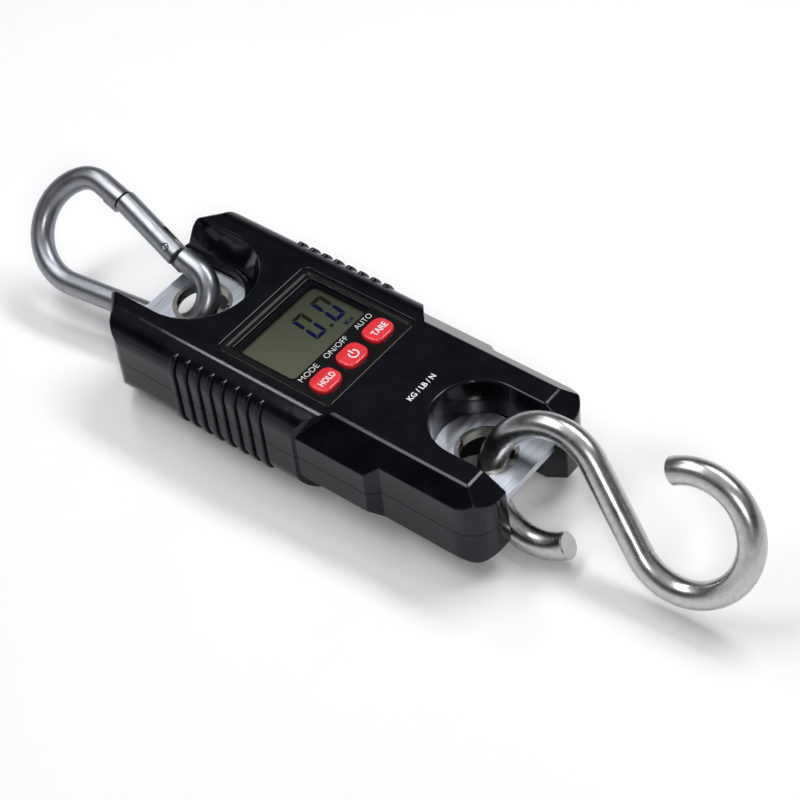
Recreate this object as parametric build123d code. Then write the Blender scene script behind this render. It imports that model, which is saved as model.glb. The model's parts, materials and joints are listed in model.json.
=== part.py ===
from build123d import *
from math import asin, atan2, cos, degrees, hypot, radians, sin
import os

# Digital hanging scale: a flat load plate with an eye at each end runs through a
# two-shell plastic housing.  A snap hook hangs in one eye and an S hook in the
# other.  The display and three push buttons are on the front face.
# Millimetres.  Geometry is written about the parting plane of the two shells and
# lifted at export, so that z = 0 is the rear face under the centre of the display
# panel.  +X runs towards the S hook, +Z out of the front face.

# ---- housing ---------------------------------------------------------------
HALF_T = 21.0            # half the housing thickness; parting plane in the middle
WALL = 2.4
GRIP_HALF_W = 42.6       # grooved section, snap hook end
GRIP_ROUND = 10.6
GRIP_WALL_X = -76.6      # where its side wall ends
GRIP_TIP = (-91.4, 25.2)
GRIP_END = (-92.8, 17.5)
GRIP_END_R = 3.2         # round over the end faces
STEP_TOP = (30.6, 29.7)  # slanted step down to the middle block
STEP_SIDE = (19.5, 42.6)
BLOCK_HALF_W = 41.5      # middle block
BEVEL_Y, BEVEL_Z = 29.8, 10.7   # bevel from the front face edge to the wall top
JOG_X0, JOG_X1 = 54.7, 59.6     # wall steps in from the block to the end section
END_HALF_W = 37.4
END_X = 107.0
END_CHAMFER_X, END_CHAMFER_Z = 96.7, 14.6
END_CORNER_R = 13.0
CREASE_R = 2.6           # round between the front or rear face and a bevel
REAR_HIP_R = 8.0         # round where the bevels meet behind each end corner
EDGE_R = 1.0             # small round on the other bevel edges and slot rims
RIB_COUNT, RIB_PITCH, RIB_X0 = 8, 6.5, -42.8
RIB_W, RIB_H, RIB_REACH, RIB_EDGE_R = 2.7, 1.2, 19.3, 0.7
SEAM_H, SEAM_DEPTH = 0.3, 0.45   # parting line round the outside

# ---- U slots, one round each eye -------------------------------------------
SNAP_EYE_X, S_EYE_X = -66.0, 82.5
SNAP_SLOT_R, SNAP_SLOT_R1, SNAP_SLOT_R2 = 18.5, 20.6, 26.4
SNAP_SLOT_LEDGE = 8.0
S_SLOT_X, S_SLOT_R, S_SLOT_R2 = 80.0, 18.4, 19.8
SLOT_WALL = 2.0

# ---- load plate ------------------------------------------------------------
PLATE_X0, PLATE_X1 = -85.0, 102.4
PLATE_HALF_W = 18.0
PLATE_Z0, PLATE_Z1 = 0.3, 3.8
PLATE_HOLE_R = 12.2
BUSH_R, BUSH_LIP_R, BUSH_LIP = 11.0, 12.8, 0.4
PLATE_SCREWS = [(x, y) for x in (-30.0, 46.0) for y in (-11.0, 11.0)]

# ---- display panel ---------------------------------------------------------
PANEL_X0, PANEL_X1, PANEL_HALF_Y, PANEL_R = -30.5, 28.0, 28.0, 2.5
PANEL_FLOOR = 19.2
PANEL_LIP = 0.6          # round on the edge of the recess
PANEL_TOP = 20.2
PANEL_RIM, PANEL_RIM_W = 20.7, 2.2
PANEL_EDGE_R = 0.35      # round on the rim and on the edge of the lens opening
LENS_X0, LENS_X1, LENS_HALF_Y = -25.3, 7.4, 24.4
WINDOW_X0, WINDOW_X1, WINDOW_HALF_Y = -22.8, 6.2, 23.2
LCD_X0, LCD_X1, LCD_HALF_Y = -24.0, 8.6, 26.4
LCD_Z0, LCD_Z1 = 14.4, 17.2
BOARD_Z0, BOARD_Z1 = 9.0, 10.6
BOARD_HALF_X, BOARD_HALF_Y = 30.2, 29.4
BOARD_SCREWS = [(x, y) for x in (-27.6, 27.6) for y in (-27.0, 27.0)]
BUTTON_X, BUTTON_Y0, BUTTON_PITCH = 17.9, -17.4, 16.5
BUTTON_W, BUTTON_L, BUTTON_R = 10.5, 12.8, 4.1
BUTTON_TOP = 21.9
FACET_W, FACET_H = 3.4, 0.9
BUTTON_NAMES = ["hold_button", "power_button", "tare_button"]

# ---- batteries -------------------------------------------------------------
CELL_R, CELL_L, CELL_PITCH = 5.2, 44.5, 11.4
CELL_X, CELL_Z = 8.0, -12.7
DOOR_HALF_X, DOOR_HALF_Y, DOOR_T = 17.2, 24.7, 1.8
FIT_GAP = 0.3

# ---- fasteners -------------------------------------------------------------
HOUSING_SCREWS = [(x, s * y) for x, y in ((-66.0, 30.0), (44.0, 25.5), (92.0, 28.2))
                  for s in (-1, 1)]
SCREW_R = 1.45

# ---- S hook ----------------------------------------------------------------
S_WIRE_R = 5.6
S_BEND_R, S_SPACING = 24.5, 61.7
S_LEG_ANGLE, S_TIP_ANGLE = -59.0, 116.5
S_CENTRE = (110.5, -0.1, 1.25)
S_YAW, S_RISE, S_LEAN = 6.43, 6.0, 25.4

# ---- snap hook -------------------------------------------------------------
SNAP_WIRE_R = 5.15
SNAP_SMALL_R, SNAP_BIG_R = 12.7, 23.7
SNAP_BIG_C = (54.5, -0.4)
SNAP_CROWN_R = 14.0
SNAP_NOSE_X = 46.9
SNAP_CENTRE = (-77.4, -0.44, 2.6)
SNAP_YAW, SNAP_RISE, SNAP_LEAN = 1.51, 8.9, 42.62
GATE_A, GATE_B = (10.3, 12.6), (46.3, 19.7)
GATE_R = 5.1
GATE_SLOT, GATE_SLOT_L = 4.2, 14.0
PIN_S, PIN_R, PIN_L = 5.5, 1.5, 10.6
PIN_GAP, PIN_SINK = 0.45, 0.9       # counterbore round the riveted ends of the pin
LIP_L, LIP_R, LIP_DROP = 7.2, 4.75, 1.0   # swelling inside the nose


def box(x0, x1, y0, y1, z0, z1):
    """Box between two corners."""
    size = Box(x1 - x0, y1 - y0, z1 - z0)
    return Pos((x0 + x1) / 2, (y0 + y1) / 2, (z0 + z1) / 2) * size


def post(x, y, z0, z1, r):
    """Upright cylinder between two heights."""
    return Pos(x, y, (z0 + z1) / 2) * Cylinder(r, z1 - z0)


def prism(points, z0, z1):
    """Upright prism over a closed polygon."""
    face = make_face(Polyline(*points, close=True))
    return Pos(0, 0, z0) * extrude(face, amount=z1 - z0)


def rounded(x0, x1, y0, y1, r, z0, z1):
    """Upright block with rounded corners."""
    face = Pos((x0 + x1) / 2, (y0 + y1) / 2, z0) * RectangleRounded(x1 - x0, y1 - y0, r)
    return extrude(face, amount=z1 - z0)


def mirrored(points):
    """Half outline at +Y closed with its mirror image."""
    return points + [(x, -y) for x, y in reversed(points)]


def bevel(y=None, z=None, inset=0.0):
    """Point on the long bevel: z for a given y, or y for a given z."""
    run = BLOCK_HALF_W - BEVEL_Y
    drop = HALF_T - BEVEL_Z
    length = hypot(run, drop)
    ny, nz = drop / length, run / length
    reach = ny * BEVEL_Y + nz * HALF_T - inset
    return (reach - ny * y) / nz if z is None else (reach - nz * z) / ny


def grip_section(inset):
    """Rounded section with the grip grooves, round the snap hook's eye."""
    w, h = GRIP_HALF_W - inset, HALF_T - inset
    profile = Plane.YZ.offset(-100) * RectangleRounded(2 * w, 2 * h, GRIP_ROUND - inset)
    bar = extrude(profile, amount=140)
    back = inset * 1.2
    half = [(GRIP_END[0] + inset, GRIP_END[1]),
            (GRIP_TIP[0] + back, GRIP_TIP[1]),
            (GRIP_WALL_X + inset * 0.6, w),
            (STEP_SIDE[0] - back, w),
            (STEP_TOP[0] - back, STEP_TOP[1])]
    plan = prism(mirrored(half), -h, h)
    upright = plan.edges().filter_by(Axis.Z)
    corners = upright.filter_by(lambda e: abs(e.center().X - half[2][0]) < 0.01)
    plan = fillet(corners, 7.0 - inset)
    tips = plan.edges().filter_by(Axis.Z).filter_by(
        lambda e: abs(e.center().X - half[1][0]) < 0.01)
    plan = fillet(tips, 4.0 - inset / 2)
    if inset == 0:
        rims = plan.edges().filter_by(lambda e: abs(abs(e.center().Z) - h) < 0.01
                                      and e.center().X < GRIP_WALL_X - 2)
        plan = fillet(rims, GRIP_END_R)
    return bar & plan


def block_section(inset):
    """Bevelled middle block and end section, round the S hook's eye."""
    w, h = BLOCK_HALF_W - inset, HALF_T - inset
    top_y, wall_z = bevel(z=h, inset=inset), bevel(y=w, inset=inset)
    ring = [(top_y, h), (w, wall_z), (w, -wall_z), (top_y, -h)]
    ring = ring + [(-y, z) for y, z in reversed(ring)]
    profile = make_face(Plane.YZ.offset(-30) * Polyline(*ring, close=True))
    bar = extrude(profile, amount=END_X + 30 - inset, dir=(1, 0, 0))
    shift = inset * 0.4
    half = [(-30, w), (JOG_X0 - shift, w),
            (JOG_X1 - shift, END_HALF_W - inset), (END_X - inset, END_HALF_W - inset)]
    plan = prism(mirrored(half), -h, h)
    corner = plan.edges().filter_by(Axis.Z).filter_by(
        lambda e: abs(e.center().X - (END_X - inset)) < 0.01)
    plan = fillet(corner, END_CORNER_R - inset)
    run, drop = END_X - END_CHAMFER_X, HALF_T - END_CHAMFER_Z
    length = hypot(run, drop)
    nx, nz = drop / length, run / length
    reach = nx * END_X + nz * END_CHAMFER_Z - inset
    x_top = (reach - nz * h) / nx
    z_end = (reach - nx * (END_X - inset)) / nz
    side = [(-30, h), (x_top, h), (END_X - inset, z_end),
            (END_X - inset, -z_end), (x_top, -h), (-30, -h)]
    face = make_face(Plane.XZ.offset(-50) * Polyline(*side, close=True))
    wedge = extrude(face, amount=100, dir=(0, -1, 0))
    return bar & plan & wedge


def housing_body(inset):
    """Whole housing outline, without slots; inset gives the hollow inside."""
    return grip_section(inset) + block_section(inset)


def slot(x, direction, r0, r1, z0, z1):
    """U slot, round at x and open in the given direction, widening from r0 to r1."""
    faces = []
    for z, r in ((z0, r0), (z1, r1)):
        arc = CenterArc((x, 0, z), r, -90 * direction, -180)
        far = x + 60 * direction
        start = arc @ 0
        end = arc @ 1
        lines = Polyline(end, (far, end.Y, z), (far, start.Y, z), start)
        faces.append(make_face([arc, lines]))
    if abs(r1 - r0) < 0.01:
        return extrude(faces[0], amount=z1 - z0)
    return loft(faces)


def slots(grow):
    """Both eye slots; grow adds the thickness of the wall that lines them."""
    cut = slot(SNAP_EYE_X, -1, SNAP_SLOT_R + grow, SNAP_SLOT_R + grow, -30, 30)
    cut += slot(SNAP_EYE_X, -1, SNAP_SLOT_R1 + grow, SNAP_SLOT_R2 + grow,
                SNAP_SLOT_LEDGE - grow * 0.6, HALF_T)
    cut += slot(S_SLOT_X, 1, S_SLOT_R + grow, S_SLOT_R + grow, -30, 0.01)
    cut += slot(S_SLOT_X, 1, S_SLOT_R + grow, S_SLOT_R2 + grow, 0, HALF_T)
    return cut


def rib_bar(grow):
    """Bar with the grip section's profile, grown outwards."""
    profile = Plane.YZ.offset(-60) * RectangleRounded(
        2 * (GRIP_HALF_W + grow), 2 * (HALF_T + grow), GRIP_ROUND + grow)
    return extrude(profile, amount=90)


def ribs():
    """Raised grip ribs that wrap round both side walls."""
    outline = Plane.XZ * RectangleRounded(RIB_W, 2 * RIB_REACH, RIB_W / 2 - 0.01)
    strip = Pos(RIB_X0, 0, 0) * extrude(outline, amount=60, dir=(0, 1, 0))
    strip &= box(-100, 100, 30, 60, -40, 40)
    rib = strip & rib_bar(RIB_H)
    outside = rib.edges().filter_by(lambda e: e.center().Y > 32 and (e % 0.5).Y ** 2 < 0.9)
    rib = fillet(outside, RIB_EDGE_R) - rib_bar(-WALL / 2)
    row = [Pos(i * RIB_PITCH, 0, 0) * rib for i in range(RIB_COUNT)]
    return row + [mirror(piece, Plane.XZ) for piece in row]


def screw(x, y, seat, length, head_r, head_h, up=1, r=SCREW_R):
    """Pan head screw with a cross recess; the shank runs from seat away from the head."""
    shank = post(x, y, min(seat, seat + up * length), max(seat, seat + up * length), r)
    head = post(x, y, min(seat, seat - up * head_h), max(seat, seat - up * head_h), head_r)
    rim = head.edges().filter_by(GeomType.CIRCLE).sort_by(Axis.Z)[0 if up > 0 else -1]
    head = fillet(rim, head_h * 0.35)
    top = seat - up * head_h
    cross = Pos(x, y, top) * Box(head_r * 1.2, 0.7, head_h)
    cross += Pos(x, y, top) * Box(0.7, head_r * 1.2, head_h)
    return shank + head - cross


def is_rear_hip(edge):
    """True where the long bevel meets the end chamfer behind a corner."""
    middle = edge @ 0.5
    below = -HALF_T + 0.4 < middle.Z < -END_CHAMFER_Z - 0.9
    return below and middle.X > END_CHAMFER_X + 0.3 and abs(middle.Y) > BEVEL_Y - 3 and edge.length > 3


def is_crease(edge):
    """True where the front or rear face meets the bevels of the block."""
    middle = edge @ 0.5
    flat = abs(middle.Z) > HALF_T - 0.01
    long_side = middle.X > STEP_TOP[0] + 0.4 and abs(middle.Y) > BEVEL_Y - 1
    across = middle.X > END_CHAMFER_X - 0.5
    return flat and (long_side or across)


def takes_round(edge):
    """True for the edges of the bevelled sections and for the rims of both slots."""
    middle = edge @ 0.5
    high = abs(middle.Z)
    bevelled = middle.X > STEP_TOP[0] + 0.4 and 1 < high < HALF_T - CREASE_R / 2
    rim = high > HALF_T - 0.01 and abs(middle.Y) < BEVEL_Y - 3
    return bevelled or rim


# ---- shells ----------------------------------------------------------------
outer = (housing_body(0.0) - slots(0.0)).solids()[0]
outer = outer.fillet(REAR_HIP_R, outer.edges().filter_by(is_rear_hip))
outer = outer.fillet(CREASE_R, outer.edges().filter_by(is_crease))
outer = outer.fillet(EDGE_R, outer.edges().filter_by(takes_round))
hollow = housing_body(WALL) - slots(SLOT_WALL)
shell = outer - hollow
for rib in ribs():
    shell += rib
# front shell: everything above the parting plane, with a channel for the plate
front_cover = shell & box(-120, 130, -60, 60, 0, 40)
front_cover -= box(-120, 130, -60, 60, -1, SEAM_H) - housing_body(SEAM_DEPTH)
columns = [post(x, y, 0, HALF_T - WALL + 0.2, 3.5) for x, y in HOUSING_SCREWS]
pillars = [post(x, y, BOARD_Z1, HALF_T - WALL + 0.2, 2.5) for x, y in BOARD_SCREWS]
for piece in columns + pillars:
    front_cover += piece
for x, y in HOUSING_SCREWS:
    front_cover -= post(x, y, -1, 12, SCREW_R + 0.05)
for x, y in BOARD_SCREWS:
    front_cover -= post(x, y, 5, 16, 1.05)
front_cover -= box(-96, 112, -PLATE_HALF_W - 0.4, PLATE_HALF_W + 0.4, -1, PLATE_Z1 + FIT_GAP)
front_cover += rounded(WINDOW_X0 - 1.2, WINDOW_X1 + 1.2, -WINDOW_HALF_Y - 1.2, WINDOW_HALF_Y + 1.2,
                       3.0, LCD_Z1 + 0.1, PANEL_FLOOR)
front_cover -= rounded(PANEL_X0, PANEL_X1, -PANEL_HALF_Y, PANEL_HALF_Y, PANEL_R,
                       PANEL_FLOOR, HALF_T + 1)
recess_edge = front_cover.edges().filter_by(
    lambda e: e.center().Z > HALF_T - 0.01 and PANEL_X0 - 0.1 < (e @ 0.5).X < PANEL_X1 + 0.1
    and abs((e @ 0.5).Y) < PANEL_HALF_Y + 0.1)
front_cover = fillet(recess_edge, PANEL_LIP)
front_cover -= rounded(WINDOW_X0, WINDOW_X1, -WINDOW_HALF_Y, WINDOW_HALF_Y, 2.4, HALF_T - 5, HALF_T)
button_y = [BUTTON_Y0 + i * BUTTON_PITCH for i in range(3)]
for y in button_y:
    front_cover -= rounded(BUTTON_X - BUTTON_W / 2 - FIT_GAP, BUTTON_X + BUTTON_W / 2 + FIT_GAP,
                           y - BUTTON_L / 2 - FIT_GAP, y + BUTTON_L / 2 + FIT_GAP,
                           BUTTON_R + FIT_GAP, HALF_T - 5, HALF_T)

# rear shell: screw wells, posts for the load plate, battery opening
rear_cover = shell & box(-120, 130, -60, 60, -40, 0)
for x, y in HOUSING_SCREWS:
    rear_cover += post(x, y, -HALF_T + 0.2, 0, 4.0)
for x, y in HOUSING_SCREWS:
    rear_cover -= post(x, y, -HALF_T - 1, 1, SCREW_R + 0.25)
    rear_cover -= post(x, y, -HALF_T - 1, -9.0, 3.1)
for x, y in PLATE_SCREWS:
    rear_cover += post(x, y, -HALF_T + 0.2, PLATE_Z0, 3.6)
for x, y in PLATE_SCREWS:
    rear_cover -= post(x, y, -9, PLATE_Z0 + 1, SCREW_R + 0.05)
rear_cover -= rounded(CELL_X - DOOR_HALF_X - FIT_GAP, CELL_X + DOOR_HALF_X + FIT_GAP,
                      -DOOR_HALF_Y - FIT_GAP, DOOR_HALF_Y + FIT_GAP, 2.0, -HALF_T - 1, -HALF_T + 4)

# ---- load plate with its pressed eye bushes --------------------------------
load_plate = rounded(PLATE_X0, PLATE_X1, -PLATE_HALF_W, PLATE_HALF_W, 1.2, PLATE_Z0, PLATE_Z1)
for x in (SNAP_EYE_X, S_EYE_X):
    load_plate -= post(x, 0, -2, 8, PLATE_HOLE_R)
for x, y in PLATE_SCREWS:
    load_plate -= post(x, y, -2, 8, 1.7)


def eye_bush(x, split_angle):
    """Split steel ring pressed in the eye, lipped over both faces of the plate."""
    z0, z1 = PLATE_Z0 - BUSH_LIP, PLATE_Z1 + BUSH_LIP
    ring = post(x, 0, PLATE_Z0, PLATE_Z1, PLATE_HOLE_R - 0.02)
    ring += post(x, 0, PLATE_Z1, z1, BUSH_LIP_R)
    ring += post(x, 0, z0, PLATE_Z0, BUSH_LIP_R)
    ring -= post(x, 0, z0 - 1, z1 + 1, BUSH_R)
    gap = Pos(x, 0, 2) * Rot(0, 0, split_angle) * Pos(BUSH_R + 1, 0, 0) * Box(6, 1.1, 12)
    return ring - gap


upper_eye_bush = eye_bush(SNAP_EYE_X, 20)
lower_eye_bush = eye_bush(S_EYE_X, 188)


def gauge(z0, z1):
    """Strain gauge under its protective coating."""
    return rounded(2, 14, -4, 4, 1.2, z0, z1)


upper_gauge = gauge(PLATE_Z1, PLATE_Z1 + 0.6)
lower_gauge = gauge(PLATE_Z0 - 0.6, PLATE_Z0)
gauge_leads = box(14.0, 17.0, -2.5, 2.5, PLATE_Z1, PLATE_Z1 + 0.3)
gauge_leads += box(17.0, 17.3, -2.5, 2.5, PLATE_Z1, BOARD_Z0)

# ---- display panel ---------------------------------------------------------
edge = FIT_GAP / 2
panel = rounded(PANEL_X0 + edge, PANEL_X1 - edge, -PANEL_HALF_Y + edge, PANEL_HALF_Y - edge,
                PANEL_R, PANEL_FLOOR, PANEL_RIM)
rim = PANEL_RIM_W
panel -= rounded(PANEL_X0 + rim * 1.2, PANEL_X1 - rim * 0.6, -PANEL_HALF_Y + rim,
                 PANEL_HALF_Y - rim, PANEL_R - 0.9, PANEL_TOP, PANEL_RIM + 1)
panel -= rounded(LENS_X0, LENS_X1, -LENS_HALF_Y, LENS_HALF_Y, 1.5, PANEL_FLOOR - 1, PANEL_RIM + 1)
panel = fillet(panel.edges().filter_by(lambda e: e.center().Z > PANEL_TOP + 0.1), PANEL_EDGE_R)
lens_edge = panel.edges().filter_by(
    lambda e: abs(e.center().Z - PANEL_TOP) < 0.01 and abs((e @ 0.5).Y) < LENS_HALF_Y + 0.1
    and (e @ 0.5).X < LENS_X1 + 0.1)
panel = fillet(lens_edge, PANEL_EDGE_R)
for y in button_y:
    panel -= rounded(BUTTON_X - BUTTON_W / 2 - FIT_GAP, BUTTON_X + BUTTON_W / 2 + FIT_GAP,
                     y - BUTTON_L / 2 - FIT_GAP, y + BUTTON_L / 2 + FIT_GAP,
                     BUTTON_R + FIT_GAP, PANEL_FLOOR - 1, PANEL_RIM + 1)
display_lens = rounded(LENS_X0 + edge, LENS_X1 - edge, -LENS_HALF_Y + edge, LENS_HALF_Y - edge,
                       1.4, PANEL_FLOOR, PANEL_TOP - 0.3)
lcd_glass = box(LCD_X0, LCD_X1, -LCD_HALF_Y, LCD_HALF_Y, LCD_Z0, LCD_Z1)
lcd_reflector = box(-20.6, LCD_X1, -25.0, 25.0, 12.2, LCD_Z0)
zebra_strip = box(-23.6, -21.4, -22.0, 22.0, BOARD_Z1, LCD_Z0)

circuit_board = rounded(-BOARD_HALF_X, BOARD_HALF_X, -BOARD_HALF_Y, BOARD_HALF_Y, 1.0,
                        BOARD_Z0, BOARD_Z1)
for x, y in BOARD_SCREWS:
    circuit_board -= post(x, y, 5, 14, 1.15)
controller_chip = box(-8, 2, -18, -8, BOARD_Z0 - 1.5, BOARD_Z0)
amplifier_chip = box(-6, 0, 6, 11, BOARD_Z0 - 1.4, BOARD_Z0)

# ---- buttons and their switches --------------------------------------------
def button_facet(y):
    """Wedge that slopes the side of a cap nearest the display."""
    x = BUTTON_X - BUTTON_W / 2
    side = [(x - 1, BUTTON_TOP - FACET_H * (1 + 1 / FACET_W)), (x + FACET_W, BUTTON_TOP),
            (x + FACET_W, BUTTON_TOP + 2), (x - 1, BUTTON_TOP + 2)]
    face = make_face(Plane.XZ.offset(-y - 9) * Polyline(*side, close=True))
    return extrude(face, amount=18, dir=(0, -1, 0))


buttons = []
switches = []
for y in button_y:
    cap = rounded(BUTTON_X - BUTTON_W / 2, BUTTON_X + BUTTON_W / 2,
                  y - BUTTON_L / 2, y + BUTTON_L / 2, BUTTON_R, 17.2, BUTTON_TOP)
    cap = fillet(cap.edges().group_by(Axis.Z)[-1], 0.9)
    cap -= button_facet(y)
    cap += rounded(BUTTON_X - 6.5, BUTTON_X + 6.5, y - 7.7, y + 7.7, 4.8, 17.2, 18.3)
    cap += post(BUTTON_X, y, 16.1, 17.2, 1.8)
    buttons.append(cap)
    switch = box(BUTTON_X - 3, BUTTON_X + 3, y - 3, y + 3, BOARD_Z1, 14.0)
    switches.append(switch + post(BUTTON_X, y, 14.0, 15.3, 1.6))

# ---- battery compartment ---------------------------------------------------
tray_x0, tray_x1 = CELL_X - DOOR_HALF_X - 2.0, CELL_X + DOOR_HALF_X + 2.0
battery_tray = box(tray_x0, tray_x1, -27.0, 27.0, -HALF_T + WALL, -5.4)
battery_tray -= box(tray_x0 + 1.3, tray_x1 - 1.3, -25.8, 25.8, -HALF_T, -6.7)
battery_door = rounded(CELL_X - DOOR_HALF_X, CELL_X + DOOR_HALF_X, -DOOR_HALF_Y, DOOR_HALF_Y,
                       1.8, -HALF_T, -HALF_T + DOOR_T)
for i in range(3):
    battery_door -= Pos(CELL_X, DOOR_HALF_Y - 5 - 2.2 * i, -HALF_T) * Box(14, 0.9, 1.0)
cells = []
springs = []
for i in range(3):
    x = CELL_X + (i - 1) * CELL_PITCH
    sense = 1 if i != 1 else -1
    can = Pos(x, 0, CELL_Z) * Rot(90, 0, 0) * Cylinder(CELL_R, CELL_L - 1.2)
    cap = Pos(x, sense * (CELL_L / 2 - 0.2), CELL_Z) * Rot(90, 0, 0) * Cylinder(1.9, 1.6)
    cells.append(Pos(0, -0.6 * sense, 0) * (can + cap))
    coil = Wire(Helix(pitch=0.9, height=2.4, radius=2.6).edges())
    ring = Plane(origin=coil @ 0, z_dir=coil % 0) * Circle(0.25)
    coil = sweep(ring, path=coil)
    base = -sense * (CELL_L / 2 + 2.86)
    springs.append(Pos(x, base, CELL_Z) * Rot(-90 * sense, 0, 0) * coil)
contact_plates = [box(tray_x0 + 2.2, tray_x1 - 2.2, s * 25.6 - 0.2, s * 25.6 + 0.2, -17.0, -8.2)
                  for s in (-1, 1)]


# ---- hooks -----------------------------------------------------------------
def hook_frame(centre, yaw, rise, lean, sense):
    """Plane of a hook: x along it away from the eye, y towards its upper side."""
    a, e, t = radians(yaw), radians(rise), radians(lean)
    along = Vector(sense * cos(e) * cos(a), cos(e) * sin(a), sin(e))
    level = Vector(0, 0, 1).cross(along).normalized() * sense
    if level.Y < 0:
        level = level * -1
    up = along.cross(level).normalized()
    if up.Z < 0:
        up = up * -1
    if sense > 0:
        across = up * cos(t) + level * sin(t)
    else:
        across = level * cos(t) + up * sin(t)
    return Plane(origin=centre, x_dir=along, z_dir=along.cross(across))


def on_circle(centre, r, angle):
    """Point on a circle in the hook's plane."""
    return (centre[0] + r * cos(radians(angle)), centre[1] + r * sin(radians(angle)))


def rod(edges, r):
    """Round bar along a smooth path in the hook's plane."""
    path = Wire(edges)
    section = Plane(origin=path @ 0, z_dir=path % 0) * Circle(r)
    return sweep(section, path=path)


s_plane = hook_frame(S_CENTRE, S_YAW, S_RISE, S_LEAN, 1)
cross_angle = degrees(asin(2 * S_BEND_R / S_SPACING))
far_centre = (S_SPACING, 0)
first = CenterArc((0, 0), S_BEND_R, S_LEG_ANGLE, 90 - cross_angle - 360 - S_LEG_ANGLE)
second = CenterArc(far_centre, S_BEND_R, -90 - cross_angle, S_TIP_ANGLE + 90 + cross_angle)
s_rod = rod([first, Line(first @ 1, second @ 0), second], S_WIRE_R)
ends = s_rod.faces().filter_by(GeomType.PLANE).edges()
s_hook = s_plane.location * chamfer(ends, 0.6)

snap_plane = hook_frame(SNAP_CENTRE, SNAP_YAW, SNAP_RISE, SNAP_LEAN, -1)
crown_c = (SNAP_BIG_C[0] + (SNAP_BIG_R - SNAP_CROWN_R) * cos(radians(45)),
           SNAP_BIG_C[1] + (SNAP_BIG_R - SNAP_CROWN_R) * sin(radians(45)))
spread = degrees(asin((SNAP_BIG_R - SNAP_SMALL_R) / hypot(*SNAP_BIG_C)))
spine_angle = degrees(atan2(SNAP_BIG_C[1], SNAP_BIG_C[0])) - 90 - spread
crown = CenterArc(crown_c, SNAP_CROWN_R, 96, -51)
crown_start = on_circle(crown_c, SNAP_CROWN_R, 96)
slope = cos(radians(96)) / sin(radians(96))
nose_end = (SNAP_NOSE_X, crown_start[1] + (crown_start[0] - SNAP_NOSE_X) * slope)
bend = CenterArc(SNAP_BIG_C, SNAP_BIG_R, 45, spine_angle - 45)
small = CenterArc((0, 0), SNAP_SMALL_R, spine_angle, -266 - spine_angle)
nose_dir = Vector(crown_start[0] - nose_end[0], crown_start[1] - nose_end[1]).normalized()
lip_start = Vector(*nose_end) - LIP_DROP * Vector(-nose_dir.Y, nose_dir.X)
nose_lip = extrude(Plane(origin=lip_start, z_dir=nose_dir) * Circle(LIP_R), amount=LIP_L)
nose_lip = chamfer(nose_lip.edges().filter_by(GeomType.CIRCLE).sort_by(Axis.X)[-1], 0.4)
tail = Vector(9 * sin(radians(94)), -9 * cos(radians(94)))
snap_body = rod([Line(nose_end, crown_start), crown, bend, Line(bend @ 1, small @ 0), small,
                 Line(small @ 1, (small @ 1) + tail)], SNAP_WIRE_R) + nose_lip

# gate: round bar between the two free ends, hinged on a pin near the eye
gate_angle = degrees(atan2(GATE_B[1] - GATE_A[1], GATE_B[0] - GATE_A[0]))
gate_len = hypot(GATE_B[0] - GATE_A[0], GATE_B[1] - GATE_A[1])
gate_loc = Pos(GATE_A[0], GATE_A[1], 0) * Rot(0, 0, gate_angle)
tongue = Pos((PIN_S - 6.5) / 2 + 1.0, 0, 0) * Box(PIN_S + 6.5, 8.4, 3.6)
tongue += Pos(PIN_S, 0, 0) * Cylinder(4.2, 3.6)
tongue -= Pos(PIN_S + 5.2, 0, 0) * Box(6, 12, 6) - Pos(PIN_S, 0, 0) * Cylinder(4.2, 3.6)
snap_body += gate_loc * tongue
snap_body -= gate_loc * Pos(PIN_S, 0, 0) * Cylinder(PIN_R, 20)
gate = Pos(gate_len / 2, 0, 0) * Rot(0, 90, 0) * Cylinder(GATE_R, gate_len)
gate = chamfer(gate.edges().filter_by(GeomType.CIRCLE), 0.5)
gate -= Pos(GATE_SLOT_L / 2 - 0.2, 0, 0) * Box(GATE_SLOT_L, 12, GATE_SLOT)
gate -= Pos(20, 0, 0) * Rot(0, 90, 0) * Cylinder(2.2, 26)
gate -= Pos(PIN_S, 0, 0) * Cylinder(PIN_R + 0.1, 20)
gate_pin = Cylinder(PIN_R, PIN_L)
gate_pin = fillet(gate_pin.edges().filter_by(GeomType.CIRCLE), 0.3)
for side in (-1, 1):
    sunk = Pos(PIN_S, 0, side * PIN_L / 2)
    gate -= sunk * Cylinder(PIN_R + PIN_GAP, 2 * PIN_SINK)
    gate_pin -= Pos(0, 0, side * PIN_L / 2) * Cylinder(PIN_R / 2, 1.0)
gate_pin = Pos(PIN_S, 0, 0) * gate_pin
plunger = Pos(12.6, 0, 0) * Rot(0, 90, 0) * Cylinder(2.1, 4.0)
coil = Wire(Helix(pitch=1.6, height=13.0, radius=1.6).edges())
coil = sweep(Plane(origin=coil @ 0, z_dir=coil % 0) * Circle(0.3), path=coil)
gate_spring = Pos(15.1, 0, 0) * Rot(0, 90, 0) * coil


def in_snap(solid):
    """Place a gate piece on the snap hook."""
    return snap_plane.location * gate_loc * solid


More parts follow.
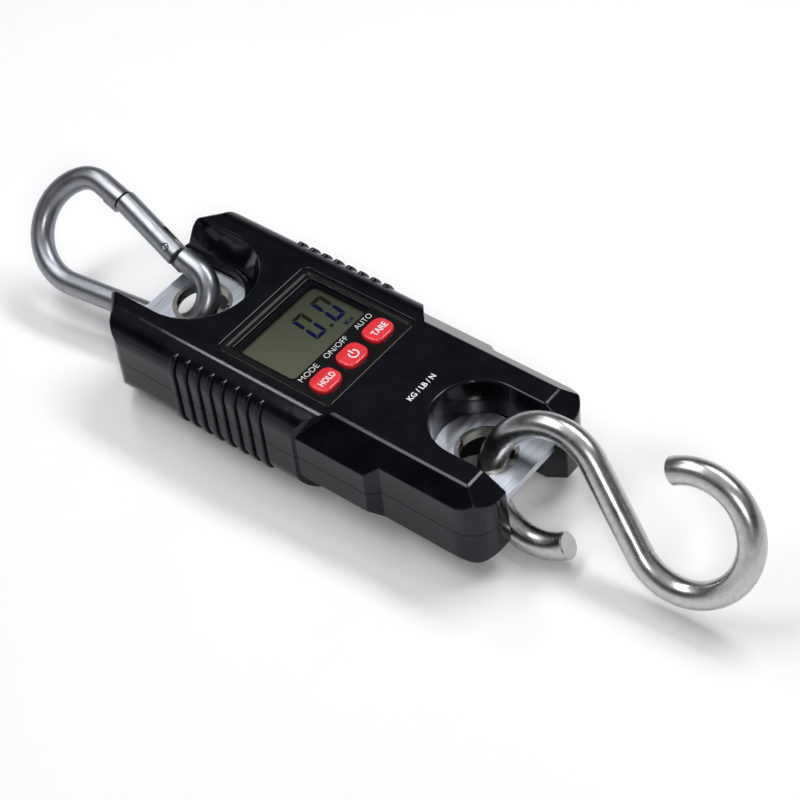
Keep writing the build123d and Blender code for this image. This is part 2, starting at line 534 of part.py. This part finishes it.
# ---- fasteners -------------------------------------------------------------
NODES = {
    "front_cover": front_cover,
    "rear_cover": rear_cover,
    "load_plate": load_plate,
    "upper_eye_bush": upper_eye_bush,
    "lower_eye_bush": lower_eye_bush,
    "upper_strain_gauge": upper_gauge,
    "lower_strain_gauge": lower_gauge,
    "gauge_leads": gauge_leads,
    "display_panel": panel,
    "display_lens": display_lens,
    "lcd_glass": lcd_glass,
    "lcd_reflector": lcd_reflector,
    "zebra_strip": zebra_strip,
    "circuit_board": circuit_board,
    "controller_chip": controller_chip,
    "amplifier_chip": amplifier_chip,
    "battery_tray": battery_tray,
    "battery_door": battery_door,
    "s_hook": s_hook,
    "snap_hook_body": snap_plane.location * snap_body,
    "snap_gate": in_snap(gate),
    "gate_pin": in_snap(gate_pin),
    "gate_plunger": in_snap(plunger),
    "gate_spring": in_snap(gate_spring),
}
for name, solid in zip(BUTTON_NAMES, buttons):
    NODES[name] = solid
for name, solid in zip(("hold", "power", "tare"), switches):
    NODES[name + "_switch"] = solid
for i in range(3):
    NODES["battery_cell_" + str(i + 1)] = cells[i]
    NODES["contact_spring_" + str(i + 1)] = springs[i]
for i, plate in enumerate(contact_plates):
    NODES["contact_plate_" + str(i + 1)] = plate
for i, (x, y) in enumerate(HOUSING_SCREWS):
    NODES["housing_screw_" + str(i + 1)] = screw(x, y, -9.0, 18.0, 2.7, 2.0)
for i, (x, y) in enumerate(PLATE_SCREWS):
    NODES["plate_screw_" + str(i + 1)] = screw(x, y, PLATE_Z1, 10.0, 2.7, 1.8, up=-1)
for i, (x, y) in enumerate(BOARD_SCREWS):
    NODES["board_screw_" + str(i + 1)] = screw(x, y, BOARD_Z0, 6.0, 1.9, 1.3, r=1.0)

os.makedirs("parts", exist_ok=True)
for name, solid in NODES.items():
    export_step(Pos(0, 0, HALF_T) * solid, "parts/" + name + ".step")
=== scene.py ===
import json
from math import cos, pi, radians, sin

import bmesh
import bpy
from mathutils import Matrix, Vector


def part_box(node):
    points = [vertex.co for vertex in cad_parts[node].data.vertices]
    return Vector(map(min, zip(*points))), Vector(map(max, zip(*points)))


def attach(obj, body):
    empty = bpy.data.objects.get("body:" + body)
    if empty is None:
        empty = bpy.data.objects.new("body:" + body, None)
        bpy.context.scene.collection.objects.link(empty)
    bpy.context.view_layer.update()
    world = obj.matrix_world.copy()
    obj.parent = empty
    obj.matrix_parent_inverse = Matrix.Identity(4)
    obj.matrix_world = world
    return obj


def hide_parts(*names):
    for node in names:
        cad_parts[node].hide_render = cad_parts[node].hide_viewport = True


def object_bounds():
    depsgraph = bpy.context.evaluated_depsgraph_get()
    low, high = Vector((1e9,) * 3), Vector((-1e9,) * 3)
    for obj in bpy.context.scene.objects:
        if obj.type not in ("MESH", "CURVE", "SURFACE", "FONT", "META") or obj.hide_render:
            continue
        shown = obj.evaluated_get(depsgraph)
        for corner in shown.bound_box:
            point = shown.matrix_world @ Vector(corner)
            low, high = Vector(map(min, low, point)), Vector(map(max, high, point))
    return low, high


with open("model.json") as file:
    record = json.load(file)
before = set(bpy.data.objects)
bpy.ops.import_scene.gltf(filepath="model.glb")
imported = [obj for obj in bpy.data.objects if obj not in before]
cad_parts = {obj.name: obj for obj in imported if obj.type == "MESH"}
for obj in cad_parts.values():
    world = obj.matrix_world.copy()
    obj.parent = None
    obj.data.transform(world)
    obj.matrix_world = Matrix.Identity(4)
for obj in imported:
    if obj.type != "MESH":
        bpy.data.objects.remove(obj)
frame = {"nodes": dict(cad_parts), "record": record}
cad_low, cad_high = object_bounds()

MM = 0.001
FRONT = 42.0             # front face height over the rear face
LCD_TOP = 38.2           # face of the display cell
# places of the buttons along Y, and of their row along X
BUTTONS = {"hold": -17.4, "power": -0.9, "tare": 15.6}
BUTTON_X = 17.9
LABEL_X = 9.2            # row of the words beside the buttons
PANEL_RIM = 0.5          # depth of the print under the top of the display panel
LABEL_H, LABEL_BOLD = 2.6, -0.013
MARK_H, MARK_BOLD = 3.0, 0.018
MARK_SHIFT = (0.6, 0.3)  # words on the buttons, from the buttons' places
UNIT_LABEL = (51.6, 0.6)
PRINT = 0.03             # height of raised print
SEGMENT = 0.04           # height of the display's segments


# ---- materials -------------------------------------------------------------
def node_material(name, color, rough, metallic=0.0, **sockets):
    """Principled material; returns it with its node tree and shader."""
    mat = bpy.data.materials.new(name)
    mat.use_nodes = True
    tree = mat.node_tree
    shader = tree.nodes["Principled BSDF"]
    shader.inputs["Base Color"].default_value = (*color, 1)
    shader.inputs["Roughness"].default_value = rough
    shader.inputs["Metallic"].default_value = metallic
    for key, value in sockets.items():
        shader.inputs[key.replace("_", " ")].default_value = value
    return mat, tree, shader


def noise(tree, scale, stretch=(1, 1, 1), detail=4.0, rough=0.55):
    """Noise in the row frame, in metres; stretch squeezes it along an axis."""
    coord = tree.nodes.new("ShaderNodeTexCoord")
    mapping = tree.nodes.new("ShaderNodeMapping")
    mapping.inputs["Scale"].default_value = stretch
    tex = tree.nodes.new("ShaderNodeTexNoise")
    tex.inputs["Scale"].default_value = scale
    tex.inputs["Detail"].default_value = detail
    tex.inputs["Roughness"].default_value = rough
    tree.links.new(coord.outputs["Object"], mapping.inputs["Vector"])
    tree.links.new(mapping.outputs["Vector"], tex.inputs["Vector"])
    return tex


def ramp(tree, source, stops):
    """Colour ramp over a noise; stops are (position, grey or colour)."""
    node = tree.nodes.new("ShaderNodeValToRGB")
    elements = node.color_ramp.elements
    while len(elements) < len(stops):
        elements.new(0.5)
    for element, (place, value) in zip(elements, stops):
        element.position = place
        element.color = (*value, 1) if isinstance(value, tuple) else (value, value, value, 1)
    tree.links.new(source.outputs["Fac"], node.inputs["Fac"])
    return node


def bump(tree, shader, source, distance, strength=1.0, below=None):
    """Adds a bump layer; returns it so that another can go on top."""
    node = tree.nodes.new("ShaderNodeBump")
    node.inputs["Strength"].default_value = strength
    node.inputs["Distance"].default_value = distance
    tree.links.new(source.outputs[0], node.inputs["Height"])
    if below is not None:
        tree.links.new(below.outputs["Normal"], node.inputs["Normal"])
    tree.links.new(node.outputs["Normal"], shader.inputs["Normal"])
    return node


def gloss_black():
    """Glossy black moulding with a faint orange peel, flow marks and dust."""
    mat, tree, shader = node_material("gloss_black", (0.004, 0.004, 0.005), 0.1,
                                      Specular_IOR_Level=0.26,
                                      Specular_Tint=(0.84, 0.9, 1.0, 1.0))
    tone = ramp(tree, noise(tree, 90, detail=6), [(0.35, (0.002, 0.002, 0.003)),
                                                 (0.7, (0.004, 0.005, 0.008))])
    dust = ramp(tree, noise(tree, 2600, detail=2), [(0.68, 0.0), (0.80, 0.03)])
    mix = tree.nodes.new("ShaderNodeMixRGB")
    mix.blend_type = "ADD"
    mix.inputs["Fac"].default_value = 0.5
    tree.links.new(tone.outputs["Color"], mix.inputs["Color1"])
    tree.links.new(dust.outputs["Color"], mix.inputs["Color2"])
    tree.links.new(mix.outputs["Color"], shader.inputs["Base Color"])
    gloss = ramp(tree, noise(tree, 260, detail=5), [(0.3, 0.07), (0.75, 0.15)])
    tree.links.new(gloss.outputs["Color"], shader.inputs["Roughness"])
    peel = bump(tree, shader, noise(tree, 420, detail=1), 0.00002, 0.5)
    bump(tree, shader, noise(tree, 4200, detail=2), 0.000006, 0.5, peel)
    return mat


def satin_black(name, level, rough, shine):
    """Plain black moulding with slightly cloudy gloss."""
    mat, tree, shader = node_material(name, (level, level, level * 1.1), rough,
                                      Specular_IOR_Level=shine)
    gloss = ramp(tree, noise(tree, 300, detail=5), [(0.3, rough * 0.8), (0.75, rough * 1.3)])
    tree.links.new(gloss.outputs["Color"], shader.inputs["Roughness"])
    tone = ramp(tree, noise(tree, 120), [(0.3, (level * 0.7,) * 3), (0.7, (level * 1.3,) * 3)])
    tree.links.new(tone.outputs["Color"], shader.inputs["Base Color"])
    bump(tree, shader, noise(tree, 3000, detail=2), 0.00001, 0.6)
    return mat


def steel(name, color, low, high, grain=0.000006, stretch=(1, 1, 1)):
    """Soft brushed stainless bar: fine grain, handling marks and cloudy gloss."""
    mat, tree, shader = node_material(name, color, low, 1.0)
    cloud = noise(tree, 130, detail=6)
    gloss = ramp(tree, cloud, [(0.3, low), (0.72, high)])
    tree.links.new(gloss.outputs["Color"], shader.inputs["Roughness"])
    dark = tuple(0.82 * c for c in color)
    tone = ramp(tree, noise(tree, 420, stretch, detail=6), [(0.3, dark), (0.65, color)])
    tree.links.new(tone.outputs["Color"], shader.inputs["Base Color"])
    fine = bump(tree, shader, noise(tree, 3600, stretch, detail=3), grain, 0.45)
    pits = ramp(tree, noise(tree, 1500, detail=1), [(0.7, 1.0), (0.78, 0.0)])
    bump(tree, shader, pits, 0.000008, 0.3, fine)
    return mat


def brushed_plate():
    """Aluminium plate, brushed across its width with a few stray scratches."""
    mat, tree, shader = node_material("brushed_plate", (0.7, 0.72, 0.75), 0.3, 1.0)
    lines = noise(tree, 900, (1, 0.03, 1), detail=5)
    tone = ramp(tree, lines, [(0.3, (0.42, 0.45, 0.5)), (0.7, (0.6, 0.635, 0.7))])
    tree.links.new(tone.outputs["Color"], shader.inputs["Base Color"])
    gloss = ramp(tree, noise(tree, 500, (1, 0.05, 1), detail=5), [(0.3, 0.26), (0.7, 0.42)])
    tree.links.new(gloss.outputs["Color"], shader.inputs["Roughness"])
    fine = bump(tree, shader, lines, 0.00002, 0.5)
    stray = ramp(tree, noise(tree, 260, (0.35, 2.6, 1), detail=1), [(0.66, 1.0), (0.69, 0.0)])
    bump(tree, shader, stray, 0.00001, 0.3, fine)
    return mat


def red_plastic():
    """Glossy red button moulding that lets a little light in."""
    mat, tree, shader = node_material("button_red", (0.74, 0.02, 0.03), 0.28,
                                      Subsurface_Weight=0.2, Subsurface_Scale=0.0015,
                                      Coat_Weight=0.25, Coat_Roughness=0.12)
    tone = ramp(tree, noise(tree, 260), [(0.3, (0.66, 0.012, 0.022)), (0.7, (0.78, 0.028, 0.04))])
    tree.links.new(tone.outputs["Color"], shader.inputs["Base Color"])
    bump(tree, shader, noise(tree, 3000, detail=2), 0.000008, 0.5)
    return mat


def print_ink(name, color, level=0.5):
    """Screen printed ink with slightly uneven cover."""
    mat, tree, shader = node_material(name, color, 0.5, Specular_IOR_Level=level)
    dark = tuple(0.8 * c for c in color)
    tone = ramp(tree, noise(tree, 2500), [(0.3, dark), (0.6, color)])
    tree.links.new(tone.outputs["Color"], shader.inputs["Base Color"])
    return mat


LCD_PAINTED_SHADE_START = (-24, 20, 0)    # painted shade: the display face is painted darkest at this corner
LCD_PAINTED_SHADE_TURN = -50              # degrees
LCD_PAINTED_SHADE_LENGTH = 52


def lcd_face():
    """Grey-green display face with painted shade and light: painted darkest at one corner and lighter
    across it.
    """
    mat, tree, shader = node_material("lcd_face", (0.08, 0.09, 0.06), 0.3,
                                      Specular_IOR_Level=0.1)
    coord = tree.nodes.new("ShaderNodeTexCoord")
    mapping = tree.nodes.new("ShaderNodeMapping")
    mapping.vector_type = "TEXTURE"
    mapping.inputs["Location"].default_value = Vector(LCD_PAINTED_SHADE_START) * MM
    mapping.inputs["Rotation"].default_value = (0, 0, radians(LCD_PAINTED_SHADE_TURN))
    mapping.inputs["Scale"].default_value = (LCD_PAINTED_SHADE_LENGTH * MM,) * 3
    blend = tree.nodes.new("ShaderNodeTexGradient")
    tree.links.new(coord.outputs["Object"], mapping.inputs["Vector"])
    tree.links.new(mapping.outputs["Vector"], blend.inputs["Vector"])
    # painted shade and light: colour runs from dark at the shaded corner to lighter across the face
    tone = ramp(tree, blend, [(0.0, (0.035, 0.042, 0.026)), (1.0, (0.098, 0.112, 0.073))])
    tree.links.new(tone.outputs["Color"], shader.inputs["Base Color"])
    bump(tree, shader, noise(tree, 3500, detail=2), 0.000006, 0.4)
    return mat


def clear_window():
    """Clear acrylic, seen mostly by its reflections."""
    mat, tree, shader = node_material("clear_window", (0.02, 0.02, 0.02), 0.04, Alpha=0.03)
    gloss = ramp(tree, noise(tree, 500), [(0.3, 0.03), (0.7, 0.07)])
    tree.links.new(gloss.outputs["Color"], shader.inputs["Roughness"])
    return mat


def speckled(name, light, dark, rough, metallic=0.0, scale=900):
    """General small-part finish: two tones mixed by noise, with a fine bump."""
    mat, tree, shader = node_material(name, light, rough, metallic)
    tone = ramp(tree, noise(tree, scale), [(0.35, dark), (0.65, light)])
    tree.links.new(tone.outputs["Color"], shader.inputs["Base Color"])
    gloss = ramp(tree, noise(tree, scale * 0.5), [(0.3, rough * 0.8), (0.7, min(1, rough * 1.25))])
    tree.links.new(gloss.outputs["Color"], shader.inputs["Roughness"])
    bump(tree, shader, noise(tree, scale * 3), 0.00001, 0.5)
    return mat


SHELL = gloss_black()
PANEL_BLACK = satin_black("panel_black", 0.004, 0.12, 0.32)
ROD = steel("hook_steel", (0.54, 0.54, 0.535), 0.2, 0.33)
SNAP = steel("snap_steel", (0.30, 0.315, 0.34), 0.3, 0.42)
PIN = steel("pin_steel", (0.66, 0.66, 0.66), 0.2, 0.3)
RING = steel("ring_steel", (0.5, 0.48, 0.44), 0.16, 0.27)
PLATE = brushed_plate()
RED = red_plastic()
WHITE = print_ink("white_ink", (0.82, 0.82, 0.82))
NAVY = print_ink("lcd_navy", (0.002, 0.004, 0.04), 0.03)
OLIVE = print_ink("lcd_olive", (0.008, 0.009, 0.006), 0.03)
LCD = lcd_face()
WINDOW = clear_window()

FINISH = {
    "body_black": SHELL,
    "panel_black": PANEL_BLACK,
    "window": WINDOW,
    "lcd": LCD,
    "reflector": speckled("reflector_white", (0.75, 0.77, 0.72), (0.66, 0.68, 0.63), 0.5),
    "button_red": RED,
    "stainless": ROD,
    "plate_alu": PLATE,
    "bush_steel": RING,
    "board_green": speckled("board_green", (0.02, 0.16, 0.06), (0.012, 0.11, 0.04), 0.3),
    "chip_black": speckled("chip_black", (0.02, 0.02, 0.02), (0.012, 0.012, 0.012), 0.5),
    "switch_black": speckled("switch_black", (0.03, 0.03, 0.03), (0.02, 0.02, 0.02), 0.4),
    "zebra": speckled("zebra_rubber", (0.4, 0.12, 0.1), (0.3, 0.08, 0.07), 0.7),
    "gauge_coat": speckled("gauge_coat", (0.8, 0.8, 0.74), (0.7, 0.7, 0.64), 0.6),
    "lead": speckled("lead_cover", (0.5, 0.06, 0.05), (0.4, 0.04, 0.04), 0.45),
    "screw_steel": steel("screw_steel", (0.55, 0.55, 0.56), 0.22, 0.36),
    "spring_steel": steel("spring_wire", (0.6, 0.6, 0.6), 0.2, 0.3),
    "cell_jacket": speckled("cell_jacket", (0.1, 0.12, 0.15), (0.07, 0.08, 0.1), 0.3),
    "contact_steel": steel("contact_nickel", (0.66, 0.64, 0.58), 0.2, 0.32),
}
for entry in frame["record"]["subparts"]:
    node = frame["nodes"][entry["node"]]
    for place in node.material_slots:
        place.material = FINISH[entry["material_slot"]]
for name, mat in (("gate_pin", PIN), ("snap_hook_body", SNAP), ("snap_gate", SNAP)):
    for place in frame["nodes"][name].material_slots:
        place.material = mat


# ---- mesh helpers ----------------------------------------------------------
def add_mesh(name, mesh, mat, body):
    """Object for a finished mesh, riding on a body."""
    mesh.materials.clear()
    mesh.materials.append(mat)
    piece = bpy.data.objects.new(name, mesh)
    bpy.context.scene.collection.objects.link(piece)
    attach(piece, body)
    return piece


def slab(name, outlines, z0, z1, mat, body):
    """Flat pieces over closed outlines in millimetres, between two heights."""
    made = bmesh.new()
    for outline in outlines:
        low = [made.verts.new((x * MM, y * MM, z0 * MM)) for x, y in outline]
        high = [made.verts.new((x * MM, y * MM, z1 * MM)) for x, y in outline]
        made.faces.new(low)
        made.faces.new(high)
        for i in range(len(low)):
            j = (i + 1) % len(low)
            made.faces.new((low[i], low[j], high[j], high[i]))
    bmesh.ops.recalc_face_normals(made, faces=made.faces)
    mesh = bpy.data.meshes.new(name)
    made.to_mesh(mesh)
    made.free()
    return add_mesh(name, mesh, mat, body)


def lettering(name, text, centre, width, height, z, body, bold=0.0):
    """Thin raised print that reads along +Y, squeezed to a width and cap height."""
    curve = bpy.data.curves.new(name, "FONT")
    curve.body = text
    curve.offset = bold
    curve.extrude = 0.02     # any depth: it is scaled to PRINT below
    source = bpy.data.objects.new(name + "_source", curve)
    bpy.context.scene.collection.objects.link(source)
    bpy.context.view_layer.update()
    mesh = bpy.data.meshes.new_from_object(source)
    bpy.data.objects.remove(source)
    xs = [v.co.x for v in mesh.vertices]
    ys = [v.co.y for v in mesh.vertices]
    zs = [v.co.z for v in mesh.vertices]
    for v in mesh.vertices:
        u = (v.co.x - min(xs)) / (max(xs) - min(xs)) - 0.5
        h = (v.co.y - min(ys)) / (max(ys) - min(ys)) - 0.5
        lift = PRINT * (v.co.z - min(zs)) / (max(zs) - min(zs))
        v.co = Vector((centre[0] - h * height, centre[1] + u * width, z + lift)) * MM
    return add_mesh(name, mesh, WHITE, body)


# ---- display ---------------------------------------------------------------
def rounded_outline(x0, x1, y0, y1, r, steps=8):
    """Rounded rectangle outline."""
    points = []
    corners = ((x1 - r, y1 - r, 0), (x0 + r, y1 - r, 90), (x0 + r, y0 + r, 180), (x1 - r, y0 + r, 270))
    for cx, cy, start in corners:
        for i in range(steps + 1):
            a = radians(start + 90 * i / steps)
            points.append((cx + r * cos(a), cy + r * sin(a)))
    return points


DIGIT_H = 15.9
DIGIT_W = 6.6
DIGIT_STROKE = 1.75
DIGIT_SLANT = 0.115
DIGIT_TOP = -17.5
DIGIT_GAP = 0.28         # space between neighbouring segments
DIGIT_STARTS = (0.6, 12.6)
DOT_CENTRE, DOT_R = (-2.1, 10.2), 0.95
DOT_SIDES = 16
LCD_CORNER = 0.6
LCD_UNIT = (2.4, 16.2)


def digit_strokes(y0):
    """Seven-segment zero with its top towards -X: outlines keyed by segment."""
    w, t = DIGIT_W, DIGIT_STROKE
    half = DIGIT_H / 2
    gap = DIGIT_GAP
    shapes = {
        "top": [(gap, 0), (w - gap, 0), (w - t - gap * 0.4, t), (t + gap * 0.4, t)],
        "bottom": [(gap, DIGIT_H), (w - gap, DIGIT_H), (w - t - gap * 0.4, DIGIT_H - t),
                   (t + gap * 0.4, DIGIT_H - t)],
        "upper_left": [(0, gap), (t, t + gap), (t, half - t / 2 - gap), (t / 2, half - gap),
                       (0, half - t / 2 - gap)],
        "lower_left": [(0, DIGIT_H - gap), (t, DIGIT_H - t - gap), (t, half + t / 2 + gap),
                       (t / 2, half + gap), (0, half + t / 2 + gap)],
    }
    for side in ("upper", "lower"):
        shapes[side + "_right"] = [(w - u, v) for u, v in shapes[side + "_left"]]
    placed = {}
    for key, shape in shapes.items():
        placed[key] = [(DIGIT_TOP + v, y0 + u + (DIGIT_H - v) * DIGIT_SLANT) for u, v in shape]
    return placed


def display():
    """Display cell with its digits, decimal point and unit."""
    low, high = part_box("lcd_glass")
    outline = rounded_outline(low.x / MM, high.x / MM, low.y / MM, high.y / MM, LCD_CORNER)
    cell = slab("lcd_cell", [outline], low.z / MM, LCD_TOP, LCD, "scale_body")
    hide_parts("lcd_glass")
    navy, olive = [], []
    for y0 in DIGIT_STARTS:
        strokes = digit_strokes(y0)
        for key, outline in strokes.items():
            (olive if key in ("top", "upper_right") else navy).append(outline)
    turns = [2 * pi * i / DOT_SIDES for i in range(DOT_SIDES)]
    olive.append([(DOT_CENTRE[0] + DOT_R * cos(a), DOT_CENTRE[1] + DOT_R * sin(a)) for a in turns])
    slab("lcd_digits", navy, LCD_TOP, LCD_TOP + SEGMENT, NAVY, "scale_body")
    slab("lcd_digit_edges", olive, LCD_TOP, LCD_TOP + SEGMENT, OLIVE, "scale_body")
    unit = lettering("lcd_unit", "Kg", LCD_UNIT, 4.8, 3.2, LCD_TOP, "scale_body", 0.03)
    unit.data.materials[0] = NAVY


POWER_SHIFT = (0.7, 0.4)
POWER_OUTER, POWER_INNER = 2.35, 1.7
POWER_GAP = 34           # degrees from the bar to each end of the ring
POWER_BAR = (-3.0, -0.2)
POWER_BAR_HALF = 0.32
POWER_STEPS = 28


def power_symbol():
    """Open ring with a bar through its gap, on the middle button."""
    cx, cy = BUTTON_X + POWER_SHIFT[0], BUTTONS["power"] + POWER_SHIFT[1]
    ring = []
    gap = radians(POWER_GAP)
    for r, order in ((POWER_OUTER, 1), (POWER_INNER, -1)):
        arc = []
        for i in range(POWER_STEPS + 1):
            a = pi + gap + (2 * pi - 2 * gap) * i / POWER_STEPS
            arc.append((cx + r * cos(a), cy + r * sin(a)))
        ring += arc[::order]
    start, end = (cx + place for place in POWER_BAR)
    low, high = cy - POWER_BAR_HALF, cy + POWER_BAR_HALF
    bar = [(start, low), (start, high), (end, high), (end, low)]
    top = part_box("power_button")[1].z / MM
    slab("power_mark", [ring, bar], top, top + PRINT, WHITE, "power_button")


def labels():
    """Words beside and on the buttons, and the units printed on the housing."""
    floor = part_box("display_panel")[1].z / MM - PANEL_RIM
    for name, text, y, width in (("mode_label", "MODE", -17.4, 10.8),
                                 ("switch_label", "ON/OFF", -0.6, 13.6),
                                 ("auto_label", "AUTO", 16.8, 9.6)):
        lettering(name, text, (LABEL_X, y), width, LABEL_H, floor, "scale_body",
                  bold=LABEL_BOLD)
    for name, text, width in (("hold", "HOLD", 8.4), ("tare", "TARE", 8.2)):
        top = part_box(name + "_button")[1].z / MM
        place = (BUTTON_X + MARK_SHIFT[0], BUTTONS[name] + MARK_SHIFT[1])
        lettering(name + "_mark", text, place, width, MARK_H, top, name + "_button",
                  bold=MARK_BOLD)
    lettering("unit_label", "KG / LB / N", UNIT_LABEL, 16.2, LABEL_H, FRONT, "scale_body",
              bold=0.024)


display()
power_symbol()
labels()


# ---- stage -----------------------------------------------------------------
AIM = Vector((0.01, 0, 0.02))  # point on the object that the lights face
FLOOR_SIZE = 14
FLOOR_GAP = 0.0005
# (sine of the angle above the horizon, brightness)
SKY = ((0.0, 0.9), (0.1, 0.8), (0.24, 0.3), (0.4, 0.06), (0.6, 0.03), (0.85, 0.3), (1.0, 0.6))
SKY_TINT = (0.97, 0.99, 1.04)


def area_light(name, place, size, power, tint=(1, 1, 1)):
    """Soft box at a place in metres, turned to the object; size is along X, then Y."""
    data = bpy.data.lights.new(name, "AREA")
    data.shape = "RECTANGLE"
    data.size, data.size_y = size
    data.energy = power
    data.color = tint
    aim = (Vector(place) - AIM).normalized()
    along = (Vector((1, 0, 0)) - aim.x * aim).normalized()
    turn = Matrix((along, aim.cross(along), aim)).transposed().to_4x4()
    light = bpy.data.objects.new(name, data)
    light.matrix_world = Matrix.Translation(Vector(place)) @ turn
    bpy.context.scene.collection.objects.link(light)


def stage():
    """Pale floor and soft boxes."""
    floor_z = cad_low.z - FLOOR_GAP
    bpy.ops.mesh.primitive_plane_add(size=FLOOR_SIZE, location=(0, 0, floor_z))
    floor = bpy.context.object
    floor.name = "floor"
    mat, tree, shader = node_material("floor_paper", (0.9, 0.9, 0.9), 0.8)
    tone = ramp(tree, noise(tree, 6), [(0.3, (0.9, 0.9, 0.905)), (0.7, (0.93, 0.93, 0.93))])
    tree.links.new(tone.outputs["Color"], shader.inputs["Base Color"])
    floor.data.materials.append(mat)
    area_light("left_box", (-0.40, -0.17, 1.06), (0.26, 0.9), 5.2)
    area_light("edge_strip", (-0.665, 0.39, 1.06), (0.2, 0.1), 0.9)
    area_light("back_box", (0.2, 0.56, 1.06), (0.74, 0.22), 6.3)
    area_light("camera_box", (0.73, -0.61, 0.88), (0.26, 0.2), 3.6, (1, 0.985, 0.96))


def sky():
    """Grey room: pale at the horizon and below, dark higher up, and mid grey overhead."""
    world = bpy.data.worlds.new("studio")
    bpy.context.scene.world = world
    world.use_nodes = True
    tree = world.node_tree
    coord = tree.nodes.new("ShaderNodeTexCoord")
    split = tree.nodes.new("ShaderNodeSeparateXYZ")
    tree.links.new(coord.outputs["Generated"], split.inputs["Vector"])
    node = tree.nodes.new("ShaderNodeValToRGB")
    elements = node.color_ramp.elements
    while len(elements) < len(SKY):
        elements.new(0.5)
    for element, (place, value) in zip(elements, SKY):
        element.position = place
        element.color = (*(value * part for part in SKY_TINT), 1)
    tree.links.new(split.outputs["Z"], node.inputs["Fac"])
    tree.links.new(node.outputs["Color"], tree.nodes["Background"].inputs["Color"])
    tree.nodes["Background"].inputs["Strength"].default_value = 1.0


CAMERA_PLACE = (441.628, -426.943, 653.343)
CAMERA_LENS = 97.53
CAMERA_PITCH, CAMERA_YAW, CAMERA_ROLL = 46.84, 43.25, -6.98


def camera():
    """Long-lens camera over the S hook end, slightly rolled; angles are in degrees."""
    data = bpy.data.cameras.new("camera")
    data.sensor_width = 36.0
    data.lens = CAMERA_LENS
    pitch, yaw, roll = radians(CAMERA_PITCH), radians(CAMERA_YAW), radians(CAMERA_ROLL)
    back = Vector((sin(yaw) * cos(pitch), -cos(yaw) * cos(pitch), sin(pitch)))
    side = Vector((cos(yaw), sin(yaw), 0))
    up = back.cross(side)
    right = cos(roll) * side + sin(roll) * up
    up = -sin(roll) * side + cos(roll) * up
    turn = Matrix((right, up, back)).transposed().to_4x4()
    cam = bpy.data.objects.new("camera", data)
    cam.matrix_world = Matrix.Translation(Vector(CAMERA_PLACE) * MM) @ turn
    bpy.context.scene.collection.objects.link(cam)
    bpy.context.scene.camera = cam


stage()
sky()
camera()
bpy.context.scene.view_settings.view_transform = "Standard"
